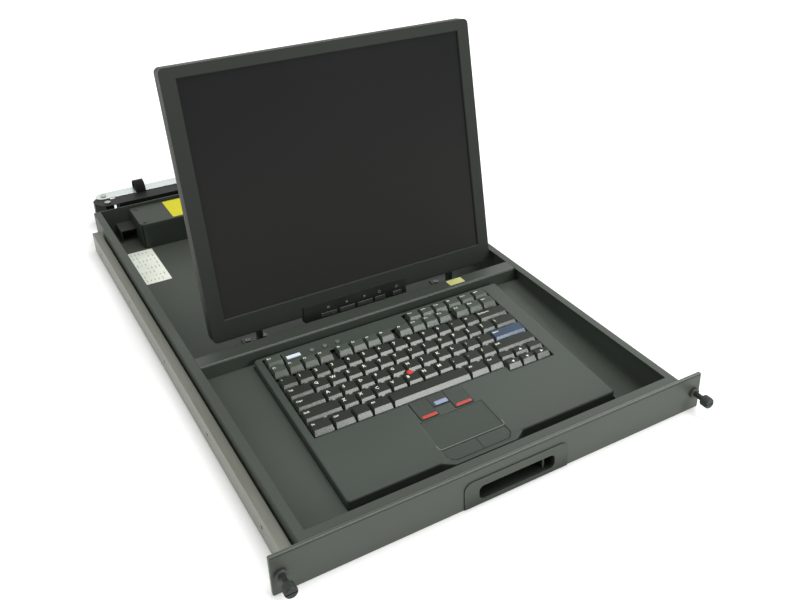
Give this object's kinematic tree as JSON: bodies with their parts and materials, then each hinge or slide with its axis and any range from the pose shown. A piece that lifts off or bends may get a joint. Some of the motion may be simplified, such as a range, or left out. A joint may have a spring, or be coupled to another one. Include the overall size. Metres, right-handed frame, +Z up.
{
  "type": "rack console drawer",
  "caption": "One-unit rack drawer on telescopic slides with a fold-down flat screen, a notebook-style keyboard, an electronics box and a folding cable arm.",
  "frame": {"origin": "middle of the front panel's lower edge, on the panel's rear face, which is the rack's mounting plane", "axes": "+X to the user's right as they face the drawer, +Y into the rack, +Z up"},
  "size_m": [0.4826, 0.8445, 0.3366],
  "materials": {
    "charcoal_paint": "satin",
    "box_paint": "satin",
    "zinc_steel": "brushed",
    "cage_steel": "smooth",
    "bracket_steel": "plated",
    "handle_plastic": "satin",
    "screw_black": "knurled, satin",
    "keyboard_plastic": "fine texture",
    "key_plastic": "fine texture",
    "function_key_plastic": "fine texture",
    "blue_key_plastic": "fine texture",
    "blue_bar_plastic": "gloss",
    "button_grey_plastic": "satin",
    "key_plate_plastic": "matt",
    "red_rubber": "matt",
    "foot_rubber": "matt",
    "touchpad_plastic": "smooth",
    "bezel_plastic": "fine texture",
    "screen_film": "anti-glare film",
    "frame_steel": "pressed sheet",
    "board_green": "populated board block",
    "arm_steel": "plated",
    "elbow_plastic": "satin",
    "strap_fabric": "woven"
  },
  "bodies": {
    "rack_rails": {"outer_rail_right": "zinc_steel", "outer_rail_left": "zinc_steel", "rack_arm_bracket": "charcoal_paint"},
    "mid_rails": {"mid_rail_right": "zinc_steel", "mid_rail_left": "zinc_steel", "ball_cages": "cage_steel"},
    "drawer": {"tray": "charcoal_paint", "crossbar": "charcoal_paint", "front_panel": "charcoal_paint", "handle_cup": "handle_plastic", "thumbscrew_ferrules": "bracket_steel", "inner_rail_right": "zinc_steel", "inner_rail_left": "zinc_steel", "keyboard_top": "keyboard_plastic", "keyboard_base": "keyboard_plastic", "keyboard_feet": "foot_rubber", "key_plate": "key_plate_plastic", "stick_cap": "red_rubber", "touchpad": "touchpad_plastic", "electronics_case": "box_paint", "electronics_lid": "box_paint", "power_board": "board_green", "box_clip": "bracket_steel", "floor_screws": "bracket_steel", "hinge_bracket_left": "bracket_steel", "hinge_bracket_right": "bracket_steel", "hinge_pins": "bracket_steel", "tray_arm_bracket": "charcoal_paint"},
    "screen": {"screen_bezel": "bezel_plastic", "lcd_panel": "screen_film", "screen_frame": "frame_steel", "screen_rear_cover": "bezel_plastic", "control_strip": "bezel_plastic", "hinge_leaves": "bracket_steel"},
    "arm_rear": {"cable_arm_rear": "arm_steel", "hook_and_loop_strap": "strap_fabric"},
    "arm_elbow": {"cable_arm_elbow": "elbow_plastic"},
    "arm_front": {"cable_arm_front": "arm_steel"},
    "menu_button_body": {"menu_button": "bezel_plastic"},
    "left_button_body": {"left_button": "bezel_plastic"},
    "right_button_body": {"right_button": "bezel_plastic"},
    "auto_button_body": {"auto_button": "bezel_plastic"},
    "power_button_body": {"power_button": "bezel_plastic"},
    "number_row_keys_body": {"number_row_keys": "key_plastic"},
    "upper_letter_keys_body": {"upper_letter_keys": "key_plastic"},
    "home_row_keys_body": {"home_row_keys": "key_plastic"},
    "lower_letter_keys_body": {"lower_letter_keys": "key_plastic"},
    "enter_key_body": {"enter_key": "blue_key_plastic"},
    "space_bar_body": {"space_bar": "key_plastic"},
    "bottom_row_keys_body": {"bottom_row_keys": "key_plastic"},
    "function_keys_body": {"function_keys": "function_key_plastic"},
    "stick_button_left_body": {"stick_button_left": "keyboard_plastic"},
    "stick_button_middle_body": {"stick_button_middle": "keyboard_plastic"},
    "stick_button_right_body": {"stick_button_right": "keyboard_plastic"},
    "pad_button_left_body": {"pad_button_left": "keyboard_plastic"},
    "pad_button_right_body": {"pad_button_right": "keyboard_plastic"},
    "bar_button_body": {"bar_button": "blue_bar_plastic"},
    "round_buttons_body": {"round_buttons": "button_grey_plastic"},
    "thumbscrew_left_body": {"thumbscrew_left": "screw_black"},
    "thumbscrew_right_body": {"thumbscrew_right": "screw_black"}
  },
  "joints": [
    {"name": "drawer_slide", "type": "slide", "parent": "rack_rails", "child": "drawer", "axis": [0, -1, 0], "range_m": [0, 0.64]},
    {"name": "mid_rail_slide", "type": "slide", "parent": "rack_rails", "child": "mid_rails", "axis": [0, -1, 0], "range_m": [0, 0.32]},
    {"name": "screen_hinge", "type": "hinge", "parent": "drawer", "child": "screen", "pos_m": [0.0155, 0.354, 0.0315], "axis": [-1, 0, 0], "range_deg": [-10, 80]},
    {"name": "rear_arm_hinge", "type": "hinge", "parent": "rack_rails", "child": "arm_rear", "pos_m": [0.186, 0.801, 0.022], "axis": [0, 0, 1], "range_deg": [0, 50]},
    {"name": "elbow_rear_hinge", "type": "hinge", "parent": "arm_rear", "child": "arm_elbow", "pos_m": [-0.186, 0.801, 0.022], "axis": [0, 0, -1], "range_deg": [0, 50]},
    {"name": "elbow_front_hinge", "type": "hinge", "parent": "arm_elbow", "child": "arm_front", "pos_m": [-0.186, 0.774, 0.022], "axis": [0, 0, -1], "range_deg": [0, 50]},
    {"name": "number_row_keys_press", "type": "slide", "parent": "drawer", "child": "number_row_keys_body", "axis": [0, 0.0802, -0.9968], "range_m": [0, 0.0025], "stiffness_N_per_m": 600, "springref_m": -0.0012},
    {"name": "upper_letter_keys_press", "type": "slide", "parent": "drawer", "child": "upper_letter_keys_body", "axis": [0, 0.0802, -0.9968], "range_m": [0, 0.0025], "stiffness_N_per_m": 600, "springref_m": -0.0012},
    {"name": "home_row_keys_press", "type": "slide", "parent": "drawer", "child": "home_row_keys_body", "axis": [0, 0.0802, -0.9968], "range_m": [0, 0.0025], "stiffness_N_per_m": 600, "springref_m": -0.0012},
    {"name": "lower_letter_keys_press", "type": "slide", "parent": "drawer", "child": "lower_letter_keys_body", "axis": [0, 0.0802, -0.9968], "range_m": [0, 0.0025], "stiffness_N_per_m": 600, "springref_m": -0.0012},
    {"name": "enter_key_press", "type": "slide", "parent": "drawer", "child": "enter_key_body", "axis": [0, 0.0802, -0.9968], "range_m": [0, 0.0025], "stiffness_N_per_m": 600, "springref_m": -0.0012},
    {"name": "space_bar_press", "type": "slide", "parent": "drawer", "child": "space_bar_body", "axis": [0, 0.0802, -0.9968], "range_m": [0, 0.0025], "stiffness_N_per_m": 600, "springref_m": -0.0012},
    {"name": "bottom_row_keys_press", "type": "slide", "parent": "drawer", "child": "bottom_row_keys_body", "axis": [0, 0.0802, -0.9968], "range_m": [0, 0.0025], "stiffness_N_per_m": 600, "springref_m": -0.0012},
    {"name": "function_keys_press", "type": "slide", "parent": "drawer", "child": "function_keys_body", "axis": [0, 0.0802, -0.9968], "range_m": [0, 0.0025], "stiffness_N_per_m": 600, "springref_m": -0.0012},
    {"name": "stick_button_left_press", "type": "slide", "parent": "drawer", "child": "stick_button_left_body", "axis": [0, 0.0802, -0.9968], "range_m": [0, 0.0006], "stiffness_N_per_m": 800, "springref_m": -0.0004},
    {"name": "stick_button_middle_press", "type": "slide", "parent": "drawer", "child": "stick_button_middle_body", "axis": [0, 0.0802, -0.9968], "range_m": [0, 0.0006], "stiffness_N_per_m": 800, "springref_m": -0.0004},
    {"name": "stick_button_right_press", "type": "slide", "parent": "drawer", "child": "stick_button_right_body", "axis": [0, 0.0802, -0.9968], "range_m": [0, 0.0006], "stiffness_N_per_m": 800, "springref_m": -0.0004},
    {"name": "pad_button_left_press", "type": "slide", "parent": "drawer", "child": "pad_button_left_body", "axis": [0, 0.0802, -0.9968], "range_m": [0, 0.0006], "stiffness_N_per_m": 800, "springref_m": -0.0004},
    {"name": "pad_button_right_press", "type": "slide", "parent": "drawer", "child": "pad_button_right_body", "axis": [0, 0.0802, -0.9968], "range_m": [0, 0.0006], "stiffness_N_per_m": 800, "springref_m": -0.0004},
    {"name": "bar_button_press", "type": "slide", "parent": "drawer", "child": "bar_button_body", "axis": [0, 0.0802, -0.9968], "range_m": [0, 0.0006], "stiffness_N_per_m": 800, "springref_m": -0.0004},
    {"name": "round_buttons_press", "type": "slide", "parent": "drawer", "child": "round_buttons_body", "axis": [0, 0.0802, -0.9968], "range_m": [0, 0.0006], "stiffness_N_per_m": 800, "springref_m": -0.0004},
    {"name": "menu_button_press", "type": "slide", "parent": "screen", "child": "menu_button_body", "axis": [0, 0.9848, -0.1736], "range_m": [0, 0.001], "stiffness_N_per_m": 500, "springref_m": -0.0006},
    {"name": "left_button_press", "type": "slide", "parent": "screen", "child": "left_button_body", "axis": [0, 0.9848, -0.1736], "range_m": [0, 0.001], "stiffness_N_per_m": 500, "springref_m": -0.0006},
    {"name": "right_button_press", "type": "slide", "parent": "screen", "child": "right_button_body", "axis": [0, 0.9848, -0.1736], "range_m": [0, 0.001], "stiffness_N_per_m": 500, "springref_m": -0.0006},
    {"name": "auto_button_press", "type": "slide", "parent": "screen", "child": "auto_button_body", "axis": [0, 0.9848, -0.1736], "range_m": [0, 0.001], "stiffness_N_per_m": 500, "springref_m": -0.0006},
    {"name": "power_button_press", "type": "slide", "parent": "screen", "child": "power_button_body", "axis": [0, 0.9848, -0.1736], "range_m": [0, 0.001], "stiffness_N_per_m": 500, "springref_m": -0.0006},
    {"name": "thumbscrew_left_turn", "type": "hinge", "parent": "drawer", "child": "thumbscrew_left_body", "pos_m": [-0.23256, -0.01, 0.02185], "axis": [0, 1, 0], "continuous": true},
    {"name": "thumbscrew_right_turn", "type": "hinge", "parent": "drawer", "child": "thumbscrew_right_body", "pos_m": [0.23256, -0.01, 0.02185], "axis": [0, 1, 0], "continuous": true}
  ],
  "couplings": [
    {"joint": "mid_rail_slide", "follows": "drawer_slide", "ratio": 0.5},
    {"joint": "rear_arm_hinge", "follows": "drawer_slide", "rad_per_m": 1.3441},
    {"joint": "elbow_rear_hinge", "follows": "drawer_slide", "rad_per_m": 1.3441},
    {"joint": "elbow_front_hinge", "follows": "drawer_slide", "rad_per_m": 1.3441}
  ]
}
